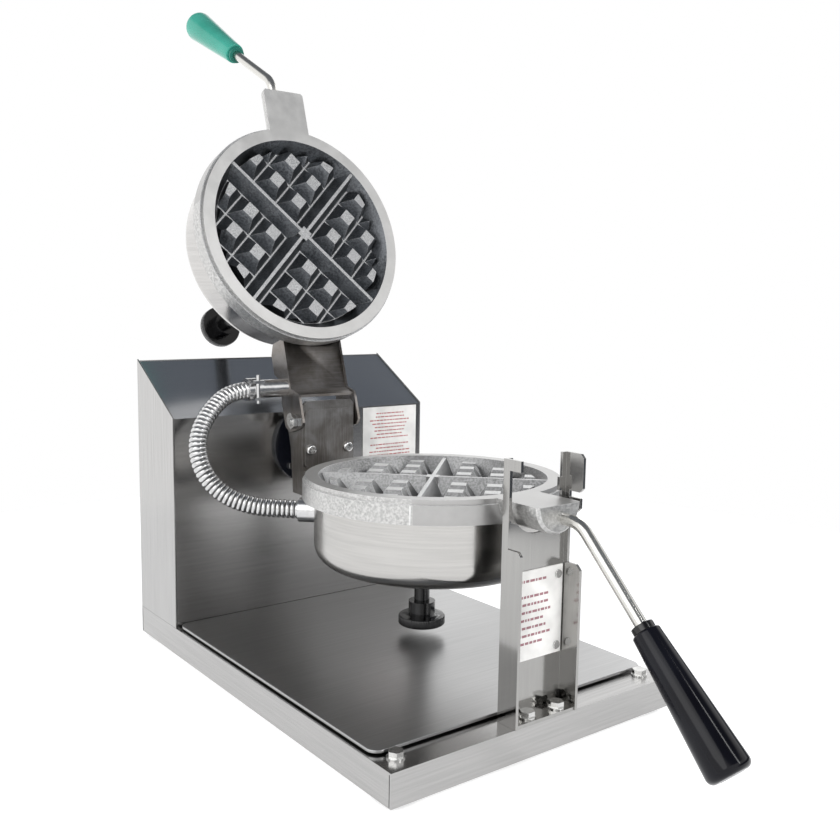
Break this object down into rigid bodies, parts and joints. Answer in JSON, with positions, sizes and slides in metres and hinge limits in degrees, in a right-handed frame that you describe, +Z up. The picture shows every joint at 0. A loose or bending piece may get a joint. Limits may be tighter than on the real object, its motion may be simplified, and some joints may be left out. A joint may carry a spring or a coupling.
{
  "type": "waffle maker",
  "caption": "Flip-over round waffle maker: stainless base and housing, two hinged cast grids with long handles, front stand and flexible conduit.",
  "frame": {"origin": "on the ground, under the middle of the open machine's whole length, 5.5 mm in front of the middle of the base", "axes": "+X to the user's right, +Y to the back (housing), +Z up; the turning axis runs along +Y, 190 mm above the ground"},
  "size_m": [0.2856, 0.7339, 0.6417],
  "materials": {
    "stainless": "brushed stainless sheet",
    "bright_steel": "bright plated fasteners and polished sheet",
    "bracket_steel": "satin hot-rolled steel",
    "cast_aluminium": "as-cast aluminium, machined on the rim",
    "shell_steel": "spun polished steel",
    "galvanised": "galvanised steel strip",
    "black_phenolic": "glossy black phenolic",
    "green_phenolic": "green phenolic",
    "black_plastic": "black moulded plastic",
    "rubber": "black rubber",
    "label_white": "printed white label",
    "label_metal": "etched plate",
    "bronze": "sintered bronze",
    "lamp_red": "red lens",
    "element_steel": "heater sheath"
  },
  "bodies": {
    "base": {"base_pan": "stainless", "rubber_feet": "rubber", "foot_bolts": "bright_steel", "drip_tray": "stainless", "tray_pads": "rubber", "housing_front": "stainless", "housing_left": "stainless", "housing_right": "stainless", "housing_back": "stainless", "back_screws": "bright_steel", "housing_label": "label_white", "power_inlet": "black_plastic", "rocker_bezel": "black_plastic", "pilot_lamp": "lamp_red", "terminal_block": "black_plastic", "pivot_bearing": "bracket_steel", "bearing_screws": "bright_steel", "pivot_bushings": "bronze", "front_stand": "bright_steel", "stand_bolts": "bright_steel", "stand_label": "label_metal", "label_rivets": "bright_steel"},
    "head": {"pivot_tube": "bracket_steel", "retaining_collar": "bracket_steel", "collar_screw": "bright_steel", "lower_grid": "cast_aluminium", "lower_shell": "shell_steel", "lower_shell_screws": "bright_steel", "lower_element": "element_steel", "lower_thermostat": "black_plastic", "lower_bracket": "bracket_steel", "lower_bracket_screws": "bright_steel", "pivot_plate": "bracket_steel", "pivot_screws": "bright_steel", "lower_handle_rod": "bright_steel", "lower_ferrule": "bright_steel", "lower_grip": "black_phenolic", "lower_connector": "galvanised", "flex_conduit": "galvanised"},
    "lid": {"upper_grid": "cast_aluminium", "upper_shell": "shell_steel", "upper_shell_screws": "bright_steel", "upper_element": "element_steel", "upper_thermostat": "black_plastic", "upper_bracket_screws": "bright_steel", "upper_handle_rod": "bright_steel", "upper_ferrule": "black_phenolic", "upper_grip": "green_phenolic", "upper_bracket": "bracket_steel", "hinge_pin": "bright_steel", "earth_stud": "bright_steel", "upper_connector": "galvanised"},
    "lower_knob_body": {"lower_knob": "black_plastic", "lower_knob_shaft": "bright_steel"},
    "upper_knob_body": {"upper_knob": "black_plastic", "upper_knob_shaft": "bright_steel"},
    "rocker_body": {"power_rocker": "black_plastic"}
  },
  "joints": [
    {"name": "head_flip", "type": "hinge", "parent": "base", "child": "head", "pos_m": [0, 0.0055, 0.19], "axis": [0, 1, 0], "range_deg": [-28, 28]},
    {"name": "lid_hinge", "type": "hinge", "parent": "head", "child": "lid", "pos_m": [0, 0.1105, 0.2175], "axis": [1, 0, 0], "range_deg": [0, 107.5], "deforming": ["flex_conduit"]},
    {"name": "lower_thermostat_knob", "type": "hinge", "parent": "head", "child": "lower_knob_body", "pos_m": [0.0318, -0.013, 0.0457], "axis": [0, 0, -1], "range_deg": [0, 270]},
    {"name": "upper_thermostat_knob", "type": "hinge", "parent": "lid", "child": "upper_knob_body", "pos_m": [-0.0318, 0.25903, 0.30016], "axis": [0, 0.9537, -0.3007], "range_deg": [0, 270]},
    {"name": "power_switch", "type": "hinge", "parent": "base", "child": "rocker_body", "pos_m": [0.138, 0.1775, 0.09], "axis": [0, 1, 0], "range_deg": [0, 18]}
  ]
}
